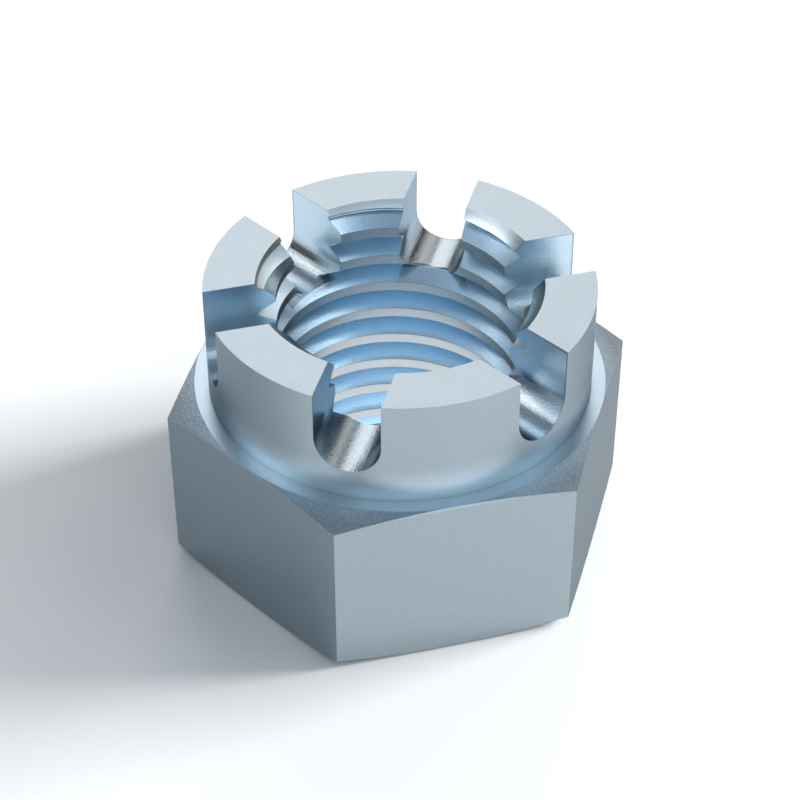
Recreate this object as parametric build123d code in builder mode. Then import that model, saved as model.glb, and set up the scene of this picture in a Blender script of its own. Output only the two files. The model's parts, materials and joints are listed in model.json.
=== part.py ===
# Castle nut for an M20 x 2.5 bolt, in millimetres.
#
# One solid piece: a hexagon with a narrower round crown above it, a threaded hole
# right through both, and six slots milled down into the crown for a split pin.
# The bearing face lies on Z = 0 with its centre at the origin, and +Z is up.
# Two opposite corners of the hexagon, and the two slots above them, lie along X.
from build123d import *

import os
from math import ceil, cos, radians, tan

# Hexagon: flats for the spanner, and corners turned off at both ends
across_flats = 30.0
hexagon_height = 13.7
corner_chamfer_angle = 15.0
bearing_inset = 0.4

# Crown: how far it stands inside the flats, and how high above the hexagon
ledge_width = 1.0
crown_height = 8.3

# Slots for the split pin, with half-round floors
slot_count = 6
slot_width = 4.75
slot_depth = 6.0

# Thread: 60 degree profile, right-handed, at the upper end of its 6H tolerance
thread_pitch = 2.5
thread_angle = 60.0
minor_diameter = 17.744
pitch_diameter = 18.6
root_flat = 0.17
# Height above the bearing face at which a groove's middle crosses the +X side
groove_height_at_x = 0.64

# Countersinks at the thread's two mouths
mouth_diameter = 20.6

# How far a cutter passes beyond what it cuts
overrun = 0.3

# Sizes that follow
flat_radius = across_flats / 2
corner_radius = flat_radius / cos(radians(30))
total_height = hexagon_height + crown_height
crown_radius = flat_radius - ledge_width
slot_radius = slot_width / 2
slot_floor_height = total_height - slot_depth

flank_slope = tan(radians(thread_angle / 2))
crest_radius = minor_diameter / 2
sharp_root_radius = pitch_diameter / 2 + thread_pitch / 4 / flank_slope
root_radius = sharp_root_radius - root_flat / 2 / flank_slope
groove_inner_radius = crest_radius - overrun
groove_inner_half = (sharp_root_radius - groove_inner_radius) * flank_slope
first_turn_height = groove_height_at_x - thread_pitch
turn_count = ceil((total_height + thread_pitch - first_turn_height) / thread_pitch)

mouth_chamfer = mouth_diameter / 2 - crest_radius


# One turn of the thread's groove: a trapezoid, wider towards the axis, that climbs
# one pitch while it goes once round.
with BuildPart() as thread_turn:
    with BuildLine() as groove_path:
        Helix(thread_pitch, thread_pitch, crest_radius, center=(0, 0, first_turn_height))
    with BuildSketch(Plane.XZ) as groove_section:
        with BuildLine():
            Polyline(
                (groove_inner_radius, first_turn_height - groove_inner_half),
                (root_radius, first_turn_height - root_flat / 2),
                (root_radius, first_turn_height + root_flat / 2),
                (groove_inner_radius, first_turn_height + groove_inner_half),
                close=True,
            )
        make_face()
    sweep(path=groove_path.line, is_frenet=True)

# One slot: a U with a half-round floor, open at the top, from the axis outwards.
with BuildPart() as slot_cutter:
    with BuildSketch(Plane.YZ) as slot_section:
        with BuildLine():
            wall_top = total_height + overrun
            wall_foot = slot_floor_height + slot_radius
            near_wall = Line((-slot_radius, wall_top), (-slot_radius, wall_foot))
            floor = TangentArc(near_wall @ 1, (slot_radius, wall_foot), tangent=near_wall % 1)
            far_wall = Line(floor @ 1, (slot_radius, wall_top))
            Line(far_wall @ 1, near_wall @ 0)
        make_face()
    extrude(amount=corner_radius)

with BuildPart() as castle_nut:
    # Hexagon, with its corners turned off to cones above and below
    with BuildSketch() as hexagon:
        RegularPolygon(radius=flat_radius, side_count=6, major_radius=False)
    extrude(amount=hexagon_height)
    with BuildSketch(Plane.XZ) as turned_profile:
        cone_radius = corner_radius + overrun
        cone_slope = tan(radians(corner_chamfer_angle))
        bearing_radius = flat_radius - bearing_inset
        with BuildLine():
            Polyline(
                (0, 0),
                (bearing_radius, 0),
                (cone_radius, (cone_radius - bearing_radius) * cone_slope),
                (cone_radius, hexagon_height - (cone_radius - flat_radius) * cone_slope),
                (flat_radius, hexagon_height),
                (0, hexagon_height),
                close=True,
            )
        make_face()
    revolve(mode=Mode.INTERSECT)

    # Crown
    with BuildSketch(Plane.XY.offset(hexagon_height)) as crown_circle:
        Circle(crown_radius)
    extrude(amount=crown_height)

    # Hole at the thread's crests, opened to a cone at both mouths
    with BuildSketch() as bore_circle:
        Circle(crest_radius)
    extrude(amount=total_height, mode=Mode.SUBTRACT)
    mouth_edges = (
        castle_nut.edges()
        .filter_by(GeomType.CIRCLE)
        .filter_by(lambda edge: abs(edge.radius - crest_radius) < 1e-4)
    )
    chamfer(mouth_edges, mouth_chamfer)

    # Thread: the same turn cut again, one pitch higher each time
    with Locations([(0, 0, turn * thread_pitch) for turn in range(turn_count)]):
        add(thread_turn.part, mode=Mode.SUBTRACT)

    # Slots, the first one over the corner on +X
    with PolarLocations(0, slot_count):
        add(slot_cutter.part, mode=Mode.SUBTRACT)

os.makedirs("parts", exist_ok=True)
castle_nut.part.label = "castle_nut"
export_step(castle_nut.part, "parts/castle_nut.step")
print("solids", len(castle_nut.part.solids()), "volume", round(castle_nut.part.volume, 2))
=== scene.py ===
import json
from math import cos, radians, sin, tan

import bmesh
import bpy
import numpy as np
from bpy.props import FloatProperty, FloatVectorProperty, IntProperty, PointerProperty
from mathutils import Matrix, Vector


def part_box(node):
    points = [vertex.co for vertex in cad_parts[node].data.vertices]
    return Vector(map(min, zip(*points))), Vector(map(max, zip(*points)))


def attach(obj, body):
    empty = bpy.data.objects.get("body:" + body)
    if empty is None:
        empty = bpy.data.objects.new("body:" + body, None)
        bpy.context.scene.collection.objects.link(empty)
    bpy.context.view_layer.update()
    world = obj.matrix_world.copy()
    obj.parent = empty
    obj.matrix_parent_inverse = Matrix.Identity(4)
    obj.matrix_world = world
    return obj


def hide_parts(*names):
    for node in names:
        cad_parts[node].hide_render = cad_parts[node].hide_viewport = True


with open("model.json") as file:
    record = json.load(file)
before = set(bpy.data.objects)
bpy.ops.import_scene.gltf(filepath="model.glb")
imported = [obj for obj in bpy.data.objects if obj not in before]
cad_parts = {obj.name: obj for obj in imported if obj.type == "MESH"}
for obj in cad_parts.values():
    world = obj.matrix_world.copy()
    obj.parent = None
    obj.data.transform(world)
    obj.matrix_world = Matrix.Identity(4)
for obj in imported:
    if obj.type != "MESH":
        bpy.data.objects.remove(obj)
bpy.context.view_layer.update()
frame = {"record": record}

bl_info = {
    "name": "Castle Nut",
    "version": (1, 0, 0),
    "blender": (4, 5, 0),
    "location": "View3D > Sidebar > Castle Nut",
    "description": "A slotted hexagon nut in satin zinc plate, on a pale studio floor",
    "category": "Add Mesh",
}

MM = 0.001
NUT_LOW, NUT_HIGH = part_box("castle_nut")
THREAD_MOUNT = next(mount for mount in frame["record"]["mounts"] if mount["name"] == "thread")

# Edges that meet at more than this stay sharp in the shading, the others look round.
SHARP_ANGLE = radians(14)

# How far the cutters of the slots stand above the crown, in millimetres
OVERRUN = 1.0

# Points of the half circle at a slot's foot and of the arc at a groove's root
FOOT_POINTS, ROOT_POINTS = 37, 11

# Where one zone of the plate turns into the next, in its finish and in its painted light and
# shade: start and end of the change, in millimetres past the border that the mask names. A
# negative number lies before it.
FADES = {
    "slot side": (0.0, 0.03),
    "slot floor": (-0.1, -0.02),
    "slot top": (-0.1, 0.0),
    "slot end": (-0.06, -0.01),
    "countersink": (-1.0, -0.1),
    "crown wall": (-0.2, -0.03),
    "bearing face": (0.1, 0.8),
    "ledge rim": (-0.4, -0.05),
    "foot low": (0.0, 0.3),
    "foot high": (0.8, 3.2),
    "flat": (0.0, 0.05),
    "cone": (-0.05, -0.01),
    "crest": (0.01, 0.04),
}

# Patches per metre of the slow changes in the shine and of the cutter's streaks, and how
# fast a streak changes along its slot, as a share of how fast it changes across it
CLOUD_SCALE = 900.0
STREAK_SCALE = 4000.0
STREAK_STRETCH = 0.08

# The studio's windows as they look from the nut: azimuth, elevation, width and height in
# degrees, the radiance in red, green and blue, whether the metal mirrors the window, and
# whether it lights the floor
WINDOWS = {
    "back_window": (80, 30, 36, 40, (1.95, 1.87, 1.83), True, True),
    "back_right_window": (40, 24, 26, 30, (1.2, 1.1, 1.02), True, True),
    "left_window": (172, 39, 32, 30, (2.4, 2.34, 2.3), True, False),
    "high_right_window": (352, 50, 36, 26, (1.1, 1.15, 1.15), True, True),
    "front_window": (322, 28, 44, 36, (0.8, 0.84, 0.86), True, True),
    "near_window": (262, 42, 60, 32, (1.1, 1.13, 1.13), True, True),
    "floor_key": (0, 24, 26, 20, (32, 31.5, 31.2), False, True),
}


class NutSizes(bpy.types.PropertyGroup):
    """Sizes of the nut; its width and height come from the frame"""

    across_flats: FloatProperty(
        name="Across flats", description="Width of the hexagon across two flats",
        default=NUT_HIGH[1] - NUT_LOW[1], unit="LENGTH", precision=5)
    height: FloatProperty(
        name="Height", description="Bearing face to the top of the crown",
        default=NUT_HIGH[2] - NUT_LOW[2], unit="LENGTH", precision=5)
    hexagon_height: FloatProperty(
        name="Hexagon height", description="Bearing face to the ledge",
        default=0.0137, unit="LENGTH", precision=5)
    corner_chamfer: FloatProperty(
        name="Corner chamfer", description="Slope of the cones that turn off the corners",
        default=radians(15), subtype="ANGLE")
    bearing_inset: FloatProperty(
        name="Bearing inset", description="How far the bearing circle lies inside the flats",
        default=0.0004, unit="LENGTH", precision=5)
    ledge_width: FloatProperty(
        name="Ledge width", description="How far the crown stands inside the flats",
        default=0.001, unit="LENGTH", precision=5)
    slot_width: FloatProperty(
        name="Slot width", description="Width of the split pin slots, with half-round floors",
        default=0.00475, unit="LENGTH", precision=5)
    slot_depth: FloatProperty(
        name="Slot depth", description="Top of the crown to the slot floors",
        default=0.006, unit="LENGTH", precision=5)
    mouth_diameter: FloatProperty(
        name="Mouth diameter", description="Width of the countersinks",
        default=0.0206, unit="LENGTH", precision=5)
    countersink_reach: FloatProperty(
        name="Countersink reach",
        description="How far the countersinks go on inwards, past the crests that the tap leaves",
        default=0.0023, unit="LENGTH", precision=5)


class ThreadSizes(bpy.types.PropertyGroup):
    """Sizes of the thread; the radius of its crests comes from the frame"""

    pitch: FloatProperty(
        name="Pitch", description="Climb of the groove in one turn",
        default=0.0025, unit="LENGTH", precision=5)
    crest_radius: FloatProperty(
        name="Crest radius", description="Radius at the tops of the thread's ridges",
        default=THREAD_MOUNT["dims"]["r_mm"] * MM, unit="LENGTH", precision=6)
    pitch_diameter: FloatProperty(
        name="Pitch diameter", description="Width at which groove and ridge are equally wide",
        default=0.0186, unit="LENGTH", precision=5)
    flank_angle: FloatProperty(
        name="Flank angle", description="Angle between a groove's two flanks",
        default=radians(60), subtype="ANGLE")
    root_round: FloatProperty(
        name="Root round", description="Radius at the bottom of the groove",
        default=0.00015, unit="LENGTH", precision=5)
    groove_height: FloatProperty(
        name="Groove height", description="Height at which a groove's middle crosses the +X side",
        default=0.00064, unit="LENGTH", precision=5)
    columns: IntProperty(
        name="Columns", description="Divisions round the axis", default=360, min=60)


class PlateFinish(bpy.types.PropertyGroup):
    """Satin zinc plate with a pale blue passivate, with painted light and painted shade in its
    colours
    """

    # Painted shade: the outer colour is darkened so that the outer faces mirror less of the bright
    # floor.
    outer_colour_and_shade: FloatVectorProperty(
        name="Outer colour", description="Plate on the outer faces, dulled a little by handling",
        subtype="COLOR", default=(0.392, 0.458, 0.502))
    # Painted light: the brighter blue in the thread, slots and crown's foot stands in for light
    # bounced around them, over a bluer passivate tone.
    recess_colour_and_light: FloatVectorProperty(
        name="Sheltered colour", description="Full blue in the thread, slots and crown's foot",
        subtype="COLOR", default=(0.66, 0.85, 0.99))
    # Painted shade: the crests are darkened to grey.
    crest_shade_colour: FloatVectorProperty(
        name="Crest colour", description="Greyer plate on the crests, where the bolt rubs",
        subtype="COLOR", default=(0.42, 0.445, 0.455))
    grain_tint: FloatVectorProperty(
        name="Grain tint", description="What the darker crystals multiply the colour by",
        subtype="COLOR", default=(0.9, 0.91, 0.92))
    fleck_tint: FloatVectorProperty(
        name="Fleck tint", description="What the dark flecks on the cones multiply the colour by",
        subtype="COLOR", default=(0.68, 0.74, 0.78))
    edge_tint: FloatVectorProperty(
        name="Edge tint", description="How much of its shine the plate keeps seen edge-on",
        subtype="COLOR", default=(0.4, 0.42, 0.44))
    roughness: FloatProperty(
        name="Roughness", description="Satin spread of the reflections", default=0.34)
    cloud_roughness: FloatProperty(
        name="Cloud roughness", description="How much the roughness varies from place to place",
        default=0.06)
    cone_roughness: FloatProperty(
        name="Cone roughness", description="How much rougher the turned cones are", default=0.05)
    inside_polish: FloatProperty(
        name="Inside polish", description="How much smoother the thread and the slots are",
        default=0.1)
    floor_polish: FloatProperty(
        name="Floor polish", description="How much smoother still the slot floors are",
        default=0.05)
    grain: FloatProperty(
        name="Grain", description="Size of the crystals in the plate",
        default=0.00013, unit="LENGTH", precision=5)
    grain_depth: FloatProperty(
        name="Grain depth", description="Height of the crystals",
        default=0.000008, unit="LENGTH", precision=6)


class StudioSettings(bpy.types.PropertyGroup):
    """Floor, air, bore lamp and camera; the windows have a table of their own"""

    floor_reach: FloatProperty(
        name="Floor reach", description="Middle of the floor to its sides",
        default=8.0, unit="LENGTH")
    floor_colour: FloatVectorProperty(
        name="Floor colour", description="Pale, matt floor",
        subtype="COLOR", default=(0.86, 0.86, 0.86))
    lamp_distance: FloatProperty(
        name="Lamp distance", description="Middle of the nut to each window",
        default=2.5, unit="LENGTH")
    air_colour: FloatVectorProperty(
        name="Air colour", description="Dim air at the sides of the studio",
        subtype="COLOR", default=(0.04, 0.04, 0.04))
    ceiling_colour: FloatVectorProperty(
        name="Ceiling colour", description="Pale blue ceiling, brightest round its middle",
        subtype="COLOR", default=(0.34, 0.42, 0.5))
    glow_radius: FloatProperty(
        name="Glow radius", description="Radius of the lamp in the bore",
        default=0.0086, unit="LENGTH", precision=5)
    glow_height: FloatProperty(
        name="Glow height", description="Floor to the lamp in the bore",
        default=0.0002, unit="LENGTH", precision=5)
    glow_radiance: FloatProperty(
        name="Glow radiance", description="Light of the lamp in the bore", default=1.25)
    focal_length: FloatProperty(
        name="Focal length", description="Lens of the camera, on a 36 mm sensor",
        default=98.45, unit="CAMERA")
    camera_place: FloatVectorProperty(
        name="Camera place", description="Where the camera stands",
        subtype="TRANSLATION", unit="LENGTH", default=(-0.03219, -0.12012, 0.11495), precision=5)
    camera_turn: FloatVectorProperty(
        name="Camera turn", description="How the camera is turned",
        subtype="EULER", default=(radians(50.121), 0, radians(-15)))


def mesh_of(name, points, faces):
    """A mesh object from an array of points and a list of faces, linked to the scene."""
    mesh = bpy.data.meshes.new(name)
    mesh.from_pydata(points.tolist(), [], faces)
    mesh.update()
    piece = bpy.data.objects.new(name, mesh)
    bpy.context.scene.collection.objects.link(piece)
    return piece


def merge_doubles(piece, distance=1e-5):
    """Merges points closer than the distance, in the mesh's own units."""
    work = bmesh.new()
    work.from_mesh(piece.data)
    bmesh.ops.remove_doubles(work, verts=work.verts, dist=distance)
    bmesh.ops.dissolve_degenerate(work, edges=work.edges, dist=distance)
    work.to_mesh(piece.data)
    work.free()


def round_axis(radius, angles, height):
    """Points at a radius and a height for each angle: the radius times the angle's cosine
    and sine, and the height."""
    return np.stack([radius * np.cos(angles), radius * np.sin(angles), height], axis=2)


def ring_quads(columns, rows):
    """Quads of a grid whose point (column j, row i) is number j * rows + i, closed both ways:
    each joins its point to the next column's and the next row's, counted round."""
    j, i = np.meshgrid(np.arange(columns), np.arange(rows), indexing="ij")
    next_j, next_i = (j + 1) % columns, (i + 1) % rows
    corners = (j * rows + i, next_j * rows + i, next_j * rows + next_i, j * rows + next_i)
    return np.stack([corner.ravel() for corner in corners], axis=1)


def blank_piece(sizes, columns, name):
    """The turned blank in millimetres, as a closed grid with one column for each angle.

    A column is the outline of the blank in the half plane at that angle. Up the outside it
    follows the hexagon, whose distance from the axis is the flat's distance divided by the
    cosine of the angle from the middle of the flat, limited by a cone above and below."""
    flat = sizes.across_flats / 2 / MM
    top, ledge = sizes.height / MM, sizes.hexagon_height / MM
    bearing, crown = flat - sizes.bearing_inset / MM, flat - sizes.ledge_width / MM
    mouth, reach = sizes.mouth_diameter / 2 / MM, sizes.countersink_reach / MM
    slope = tan(sizes.corner_chamfer)

    angles = np.arange(columns) * (2 * np.pi / columns)
    from_flat = np.mod(angles, radians(60)) - radians(30)
    side = flat / np.cos(from_flat)
    outline = [
        (mouth - reach, reach),
        (mouth, 0.0),
        (bearing, 0.0),
        (side, (side - bearing) * slope),
        (side, ledge - (side - flat) * slope),
        (flat, ledge),
        (crown, ledge),
        (crown, top),
        (mouth, top),
        (mouth - reach, top - reach),
    ]
    radius, height = (
        np.stack([np.broadcast_to(value, side.shape) for value in values], axis=1)
        for values in zip(*outline))
    points = round_axis(radius, angles[:, None], height)
    return mesh_of(name, points.reshape(-1, 3), ring_quads(columns, len(outline)).tolist())


def slot_piece(sizes, turn, name):
    """A bar across the whole crown that cuts two opposite slots: a U carried along a straight
    path through the axis, turned by the given angle. The U's foot is half a circle."""
    half = sizes.slot_width / 2 / MM
    top = sizes.height / MM
    foot = top - sizes.slot_depth / MM + half
    reach = sizes.across_flats / MM
    sweep = np.linspace(0, np.pi, FOOT_POINTS)
    across = np.concatenate([[-half], -half * np.cos(sweep), [half]])
    height = np.concatenate([[top + OVERRUN], foot - half * np.sin(sweep), [top + OVERRUN]])
    count = len(across)
    along = np.repeat([-reach, reach], count)
    across, height = np.tile(across, 2), np.tile(height, 2)
    points = np.stack([
        along * cos(turn) - across * sin(turn),
        along * sin(turn) + across * cos(turn),
        height,
    ], axis=1)
    k = np.arange(count)
    sides = np.stack([k, (k + 1) % count, (k + 1) % count + count, k + count], axis=1)
    faces = sides.tolist() + [k[::-1].tolist(), (k + count).tolist()]
    return mesh_of(name, points, faces)


def groove_profile(thread):
    """One pitch of the tap's outline: crest, straight flank, an arc at the root, the other
    flank and crest. The flanks would meet at the apex; the arc touches both, so its middle
    lies its radius over the sine of half their angle short of the apex."""
    crest, half = thread.crest_radius / MM, thread.flank_angle / 2
    apex = thread.pitch_diameter / 2 / MM + thread.pitch / MM / 4 / tan(half)
    edge = (apex - crest) * tan(half)
    rho = thread.root_round / MM
    arc = np.linspace(-(np.pi / 2 - half), np.pi / 2 - half, ROOT_POINTS)
    radius = np.concatenate([[crest], apex - rho / sin(half) + rho * np.cos(arc), [crest]])
    height = np.concatenate([[-edge], rho * np.sin(arc), [edge]])
    return radius, height


def tap_piece(thread, top, name):
    """The space inside the thread in millimetres, as a screw that passes beyond both faces.

    The outline climbs one pitch in each turn, so the last column joins the first one a whole
    pitch higher up, and a fan to a point on the axis closes each end."""
    pitch, columns, spare_turns = thread.pitch / MM, thread.columns, 3
    profile_r, profile_z = groove_profile(thread)
    rows = len(profile_r)
    base = thread.groove_height / MM - spare_turns * pitch
    turns = int(np.ceil((top - base) / pitch)) + spare_turns
    total = rows * turns
    angles = np.arange(columns) * (2 * np.pi / columns)
    radius = np.tile(profile_r, turns)
    climb = base + np.repeat(np.arange(turns) * pitch, rows) + np.tile(profile_z, turns)
    height = climb[None, :] + pitch * np.arange(columns)[:, None] / columns
    points = round_axis(radius, angles[:, None], height).reshape(-1, 3)

    j, i = np.meshgrid(np.arange(columns), np.arange(total - 1), indexing="ij")
    last = j == columns - 1
    far = np.where(last, i + rows, (j + 1) * total + i)
    quads = np.stack([j * total + i, far, far + 1, j * total + i + 1], axis=2)
    quads = quads[~last | (i + 1 + rows < total)]

    low_ring = np.concatenate([np.arange(columns) * total, np.arange(rows, 0, -1)])
    high_ring = np.concatenate([
        np.arange(columns) * total + total - 1,
        (columns - 1) * total + np.arange(total - 2, total - 2 - rows, -1),
    ])
    low_point = np.full_like(low_ring, len(points))
    high_point = np.full_like(high_ring, len(points) + 1)
    low_fan = np.stack([np.roll(low_ring, -1), low_ring, low_point], axis=1)
    high_fan = np.stack([high_ring, np.roll(high_ring, -1), high_point], axis=1)
    ends = [[0, 0, height.min() - pitch], [0, 0, height.max() + pitch]]
    faces = quads.tolist() + low_fan.tolist() + high_fan.tolist()
    return mesh_of(name, np.concatenate([points, ends]), faces)


def cut(piece, cutters):
    """Takes the cutters out of the piece, one by one, and deletes them."""
    bpy.context.view_layer.objects.active = piece
    for cutter in cutters:
        taken = piece.modifiers.new("Cut", "BOOLEAN")
        taken.operation = "DIFFERENCE"
        taken.solver = "MANIFOLD"
        taken.object = cutter
        with bpy.context.temp_override(object=piece, active_object=piece):
            bpy.ops.object.modifier_apply(modifier=taken.name)
        mesh = cutter.data
        bpy.data.objects.remove(cutter)
        bpy.data.meshes.remove(mesh)


class Wire:
    """An output socket that takes part in arithmetic: each operation adds its Math node."""

    def __init__(self, graph, socket):
        self.graph, self.socket = graph, socket

    def _math(self, operation, *values):
        return self.graph.node("ShaderNodeMath", {"operation": operation}, dict(enumerate(values)))

    def __add__(self, other):
        return self._math("ADD", self, other)

    def __radd__(self, other):
        return self._math("ADD", other, self)

    def __sub__(self, other):
        return self._math("SUBTRACT", self, other)

    def __rsub__(self, other):
        return self._math("SUBTRACT", other, self)

    def __mul__(self, other):
        return self._math("MULTIPLY", self, other)

    def __rmul__(self, other):
        return self._math("MULTIPLY", other, self)

    def __pow__(self, other):
        return self._math("POWER", self, other)

    def size(self):
        return self._math("ABSOLUTE", self)

    def ramp(self, low, high, from_low, from_high):
        """Smoothly from low to high while this value goes from from_low to from_high."""
        return self.graph.node(
            "ShaderNodeMapRange", {"interpolation_type": "SMOOTHSTEP"},
            {"Value": self, "From Min": from_low, "From Max": from_high,
             "To Min": low, "To Max": high})

    def over(self, border, fade, low=0.0, high=1.0):
        """Low before the border and high past it, by the fade of that name."""
        start, end = FADES[fade]
        return self.ramp(low, high, border + start * MM, border + end * MM)

    def under(self, border, fade):
        """1 before the border and 0 past it, by the fade of that name."""
        return self.over(border, fade, 1.0, 0.0)


class Graph:
    """The nodes of one material or world, emptied first."""

    def __init__(self, owner):
        owner.use_nodes = True
        self.tree = owner.node_tree
        self.tree.nodes.clear()

    def node(self, kind, settings=None, sockets=None, out=0):
        """Adds a node: its settings first, then the value or link of each socket named."""
        made = self.tree.nodes.new(kind)
        for key, value in (settings or {}).items():
            setattr(made, key, value)
        for key, value in (sockets or {}).items():
            if isinstance(value, Wire):
                self.tree.links.new(value.socket, made.inputs[key])
            else:
                made.inputs[key].default_value = value
        return Wire(self, made.outputs[out]) if made.outputs else made


def mixed(graph, factor, base, other, blend="MIX"):
    """The base colour blended with the other one by the factor. A Mix node that is set to
    colours has them at inputs 6 and 7, and its result at output 2."""
    return graph.node(
        "ShaderNodeMix", {"data_type": "RGBA", "blend_type": blend},
        {"Factor": factor, 6: base, 7: other}, out=2)


def noise(graph, place, scale, detail, roughness):
    """Soft noise from 0 to 1, with about as many patches in a metre as the scale says."""
    return graph.node(
        "ShaderNodeTexNoise", None,
        {"Vector": place, "Scale": scale, "Detail": detail, "Roughness": roughness}, out="Fac")


def opaque(colour):
    """The colour with an alpha of 1."""
    return (*colour, 1)


def slot_place(graph, x, y, radius):
    """How far a point lies along the nearest slot and across it: the radius times the cosine
    and the sine of its azimuth, folded to 30 degrees either side of a slot."""
    azimuth = graph.node("ShaderNodeMath", {"operation": "ARCTAN2"}, {0: y, 1: x})
    turn = graph.node(
        "ShaderNodeMath", {"operation": "WRAP"}, {0: azimuth, 1: radians(30), 2: radians(-30)})
    across = radius * graph.node("ShaderNodeMath", {"operation": "SINE"}, {0: turn})
    along = radius * graph.node("ShaderNodeMath", {"operation": "COSINE"}, {0: turn})
    return along, across


def plate_masks(sizes, thread, radius, z, across):
    """Where each zone of the plate lies, from 0 to 1: in the slots, on their half-round floors,
    inside (thread and slots without the upper countersink), at the foot of the crown with the
    ledge, on the turned cones, and on the thread's crests. Inside, apart from the slot floors, and
    at the foot the colour carries painted light; on the crests it carries painted shade."""
    top, ledge, flat = sizes.height, sizes.hexagon_height, sizes.across_flats / 2
    crown, slot_floor = flat - sizes.ledge_width, top - sizes.slot_depth
    slope = tan(sizes.corner_chamfer)
    ledge_light_level, foot_light_level = 0.3, 0.6

    slot = (across.size().under(sizes.slot_width / 2, "slot side")
            * z.over(slot_floor, "slot floor")
            * z.under(top, "slot top")
            * radius.under(crown, "slot end"))
    in_floor = slot * z.ramp(
        1.0, 0.0, slot_floor + sizes.slot_width / 4, slot_floor + sizes.slot_width / 2)
    countersink = (1.0 - z.under(top, "countersink")) * (1.0 - slot)
    inside = (radius.under(crown, "crown wall")
              * (1.0 - countersink) * z.over(0.0, "bearing face"))
    # Painted light at the crown's foot and on the ledge: they get part of the bright recess
    # colour, standing in for light bounced between wall and ledge.
    foot = (z.over(ledge, "ledge rim")
            * z.over(ledge, "foot low", ledge_light_level, foot_light_level)
            * z.under(ledge, "foot high"))
    above = z + (radius - flat) * slope - ledge
    below = (radius - (flat - sizes.bearing_inset)) * slope - z
    cone = radius.over(flat, "flat") * (above.over(0.0, "cone") + below.over(0.0, "cone"))
    # Painted shade: where the crests get the darker grey crest colour.
    crest = radius.under(thread.crest_radius, "crest") * z.over(0.0, "bearing face")
    return slot, in_floor, inside, foot, cone, crest


def plate_material(sizes, thread, finish):
    """Satin zinc plate: a metal with a fine crystal grain in its bump and colour.

    It is darker grey-blue outside, painted shade that dims what the outer faces mirror. It is
    brighter and bluer in the thread, in the slots and at the foot of the crown, a bluer passivate
    with painted light standing in for light bounced around these hollows. It is darker grey on the
    crests, which is painted shade. The turned cones are rougher and flecked with dark. The inside
    is smoother, and the slots keep the streaks of the cutter that milled them."""
    material = bpy.data.materials.new("plated_steel")
    graph = Graph(material)
    place = graph.node("ShaderNodeTexCoord", out="Object")
    x, y, z = (
        graph.node("ShaderNodeSeparateXYZ", None, {"Vector": place}, out=axis) for axis in "XYZ")
    radius = (x * x + y * y) ** 0.5
    along, across = slot_place(graph, x, y, radius)
    slot, in_floor, inside, foot, cone, crest = plate_masks(sizes, thread, radius, z, across)

    grain = noise(graph, place, 1 / finish.grain, detail=2.0, roughness=0.55)
    cloud = noise(graph, place, CLOUD_SCALE, detail=3.0, roughness=0.5)
    stretched = graph.node(
        "ShaderNodeCombineXYZ", None, {"X": along * STREAK_STRETCH, "Y": across, "Z": z})
    streak = noise(graph, stretched, STREAK_SCALE, detail=2.0, roughness=0.5)
    dark_crystals, fleck_crystals = (0.3, 0.5), (0.42, 0.6)
    foot_flecks, slot_greying = 0.3, 0.15
    cone_bump, floor_bump, streak_bump = 2.0, 1.5, 1.2

    # Painted light and shade: the bright blue recess colour in the thread, the slots and at the
    # crown's foot stands in for bounced light; the darker outer colour and the grey crests are
    # painted shade.
    recess_and_foot_light = 1.0 - (1.0 - inside) * (1.0 - foot)
    recess_light_share = recess_and_foot_light * (1.0 - slot * slot_greying) * (1.0 - in_floor)
    colour = mixed(graph, recess_light_share, opaque(finish.outer_colour_and_shade), opaque(finish.recess_colour_and_light))
    colour = mixed(graph, crest, colour, opaque(finish.crest_shade_colour))
    darker = grain.ramp(1.0, 0.0, *dark_crystals)
    colour = mixed(graph, darker, colour, opaque(finish.grain_tint), "MULTIPLY")
    flecks = grain.ramp(0.0, 1.0, *fleck_crystals) * (cone + foot * foot_flecks)
    colour = mixed(graph, flecks, colour, opaque(finish.fleck_tint), "MULTIPLY")

    roughness = (finish.roughness + (cloud - 0.5) * finish.cloud_roughness
                 + cone * finish.cone_roughness - inside * finish.inside_polish
                 - in_floor * finish.floor_polish)
    height = (grain * (1.0 + cone * cone_bump + in_floor * floor_bump)
              + streak * slot * streak_bump)
    bump = graph.node(
        "ShaderNodeBump", None,
        {"Strength": 1.0, "Distance": finish.grain_depth, "Height": height}, out="Normal")
    shader = graph.node(
        "ShaderNodeBsdfPrincipled", None,
        {"Base Color": colour, "Metallic": 1.0, "Roughness": roughness, "Normal": bump,
         "Specular Tint": opaque(finish.edge_tint)}, out="BSDF")
    graph.node("ShaderNodeOutputMaterial", None, {"Surface": shader})
    return material


def floor_material(colour):
    """Pale, matt studio floor."""
    material = bpy.data.materials.new("pale_floor")
    graph = Graph(material)
    shader = graph.node("ShaderNodeBsdfDiffuse", None, {"Color": opaque(colour)}, out="BSDF")
    graph.node("ShaderNodeOutputMaterial", None, {"Surface": shader})
    return material


def studio_air(studio):
    """The world: dim at the sides and below, with a pale ceiling overhead that is a little
    dimmer straight above. Both changes go by the sine of the elevation."""
    ceiling_starts, ceiling_dims, dimmest = (0.55, 0.85), (0.94, 0.99), 0.6
    world = bpy.data.worlds.new("studio_air")
    graph = Graph(world)
    way = graph.node("ShaderNodeTexCoord", out="Generated")
    up = graph.node("ShaderNodeSeparateXYZ", None, {"Vector": way}, out="Z")
    ceiling = up.ramp(0.0, 1.0, *ceiling_starts) * up.ramp(1.0, dimmest, *ceiling_dims)
    air = mixed(graph, ceiling, opaque(studio.air_colour), opaque(studio.ceiling_colour))
    back = graph.node("ShaderNodeBackground", None, {"Color": air, "Strength": 1.0})
    graph.node("ShaderNodeOutputWorld", None, {"Surface": back})
    return world


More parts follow.
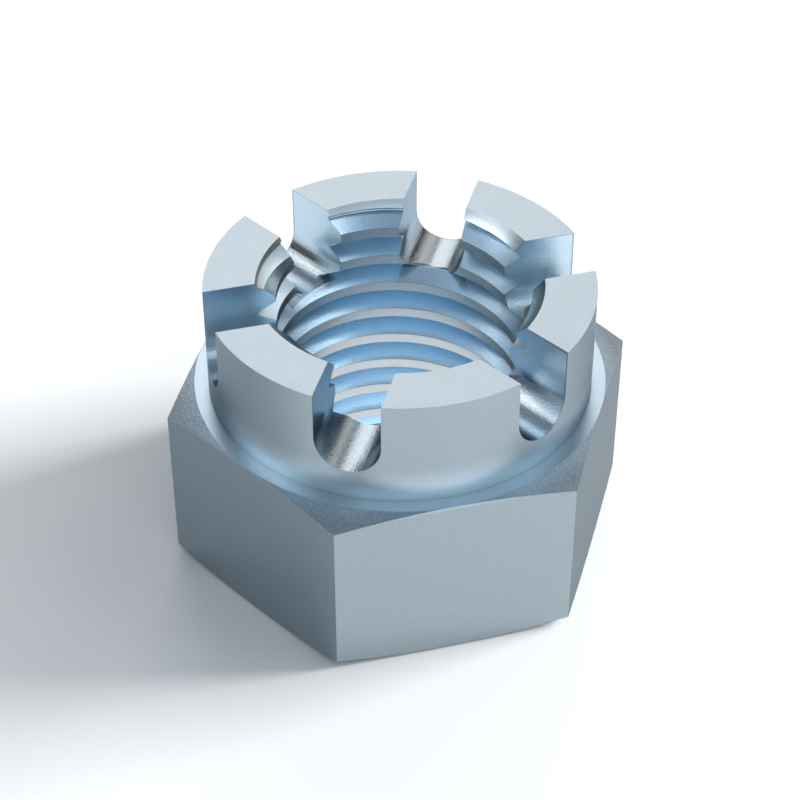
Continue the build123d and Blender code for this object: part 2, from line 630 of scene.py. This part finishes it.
def towards(azimuth, elevation):
    """The unit vector in a direction: azimuth from +X, elevation from the floor, in degrees."""
    a, e = radians(azimuth), radians(elevation)
    return Vector((cos(a) * cos(e), sin(a) * cos(e), sin(e)))


def lamp_object(name, lamp, place, turn):
    """Hangs a lamp, which the camera doesn't see."""
    holder = bpy.data.objects.new(name, lamp)
    holder.location, holder.rotation_euler = place, turn
    holder.visible_camera = False
    bpy.context.scene.collection.objects.link(holder)
    return holder


def window(name, distance, azimuth, elevation, width, height, radiance, in_metal, on_floor):
    """An area lamp far off that faces the nut, at its azimuth and elevation and as wide and high
    as the angles given, all in degrees. An area lamp sends out its watts divided by its area and
    by pi in every direction it faces, so that product gives the radiance (red, green, blue).
    One that isn't in the metal lights the floor alone, and no reflection shows it. One that
    isn't on the floor is screened off from it, as a card on a stand does."""
    wide, high = (2 * distance * tan(radians(angle / 2)) for angle in (width, height))
    brightest = max(radiance)
    lamp = bpy.data.lights.new(name, "AREA")
    lamp.shape = "RECTANGLE"
    lamp.size, lamp.size_y = wide, high
    lamp.color = [part / brightest for part in radiance]
    lamp.energy = brightest * wide * high * np.pi
    direction = towards(azimuth, elevation)
    place = Vector((0, 0, NUT_HIGH[2] / 2)) + direction * distance
    holder = lamp_object(name, lamp, place, direction.to_track_quat("Z", "Y").to_euler())
    holder.visible_glossy = in_metal
    holder.visible_diffuse = on_floor


def bore_glow(studio):
    """A disk lamp at the foot of the bore that faces up. It stands in for the light that a
    pale floor sends up through the hole."""
    glow = bpy.data.lights.new("bore_glow", "AREA")
    glow.shape = "DISK"
    glow.size = 2 * studio.glow_radius
    glow.energy = studio.glow_radiance * np.pi * (np.pi * studio.glow_radius ** 2)
    lamp_object("bore_glow", glow, (0, 0, studio.glow_height), (radians(180), 0, 0))


class CASTLENUT_OT_nut(bpy.types.Operator):
    """Build the nut: turned blank, slots and thread, in satin zinc plate"""

    bl_idname = "castle_nut.build_nut"
    bl_label = "Nut"

    def execute(self, context):
        sizes, thread = context.scene.nut_sizes, context.scene.nut_thread
        nut = blank_piece(sizes, thread.columns, "nut")
        merge_doubles(nut)
        bars = [slot_piece(sizes, radians(60 * k), f"slot_cutter_{k}") for k in range(3)]
        cut(nut, bars + [tap_piece(thread, sizes.height / MM, "thread_tap")])
        merge_doubles(nut)
        nut.data.transform(Matrix.Scale(MM, 4))
        nut.data.shade_smooth()
        nut.data.set_sharp_from_angle(angle=SHARP_ANGLE)
        nut.data.materials.clear()
        nut.data.materials.append(plate_material(sizes, thread, context.scene.nut_finish))
        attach(nut, "root")
        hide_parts("castle_nut")
        return {"FINISHED"}


class CASTLENUT_OT_stage(bpy.types.Operator):
    """Lay the pale floor, hang the lamps and set up the camera"""

    bl_idname = "castle_nut.build_stage"
    bl_label = "Stage"

    def execute(self, context):
        scene, studio = context.scene, context.scene.nut_studio
        corners = np.array([[-1, -1, 0], [1, -1, 0], [1, 1, 0], [-1, 1, 0]]) * studio.floor_reach
        floor = mesh_of("floor", corners, [[0, 1, 2, 3]])
        floor.data.materials.append(floor_material(studio.floor_colour))

        for name, settings in WINDOWS.items():
            window(name, studio.lamp_distance, *settings)
        bore_glow(studio)
        scene.world = studio_air(studio)

        lens = bpy.data.cameras.new("camera")
        lens.lens, lens.sensor_width = studio.focal_length, 36
        camera = bpy.data.objects.new("camera", lens)
        camera.location, camera.rotation_euler = studio.camera_place, studio.camera_turn
        scene.collection.objects.link(camera)
        bpy.context.scene.camera = camera
        scene.view_settings.view_transform = "Standard"
        return {"FINISHED"}


class VIEW3D_PT_castle_nut(bpy.types.Panel):
    """Sidebar panel of the castle nut"""

    bl_label = "Castle Nut"
    bl_space_type = "VIEW_3D"
    bl_region_type = "UI"
    bl_category = "Castle Nut"

    def draw(self, context):
        for group_name in GROUPS:
            group = getattr(context.scene, group_name)
            box = self.layout.box()
            for name in group.__annotations__:
                box.prop(group, name)
        self.layout.operator(CASTLENUT_OT_nut.bl_idname)
        self.layout.operator(CASTLENUT_OT_stage.bl_idname)


GROUPS = {
    "nut_sizes": NutSizes,
    "nut_thread": ThreadSizes,
    "nut_finish": PlateFinish,
    "nut_studio": StudioSettings,
}
CLASSES = (*GROUPS.values(), CASTLENUT_OT_nut, CASTLENUT_OT_stage, VIEW3D_PT_castle_nut)


def register():
    for cls in CLASSES:
        bpy.utils.register_class(cls)
    for group_name, group in GROUPS.items():
        setattr(bpy.types.Scene, group_name, PointerProperty(type=group))


def unregister():
    for group_name in GROUPS:
        delattr(bpy.types.Scene, group_name)
    for cls in reversed(CLASSES):
        bpy.utils.unregister_class(cls)


def main():
    register()
    bpy.ops.castle_nut.build_nut()
    bpy.ops.castle_nut.build_stage()


if __name__ == "__main__":
    main()
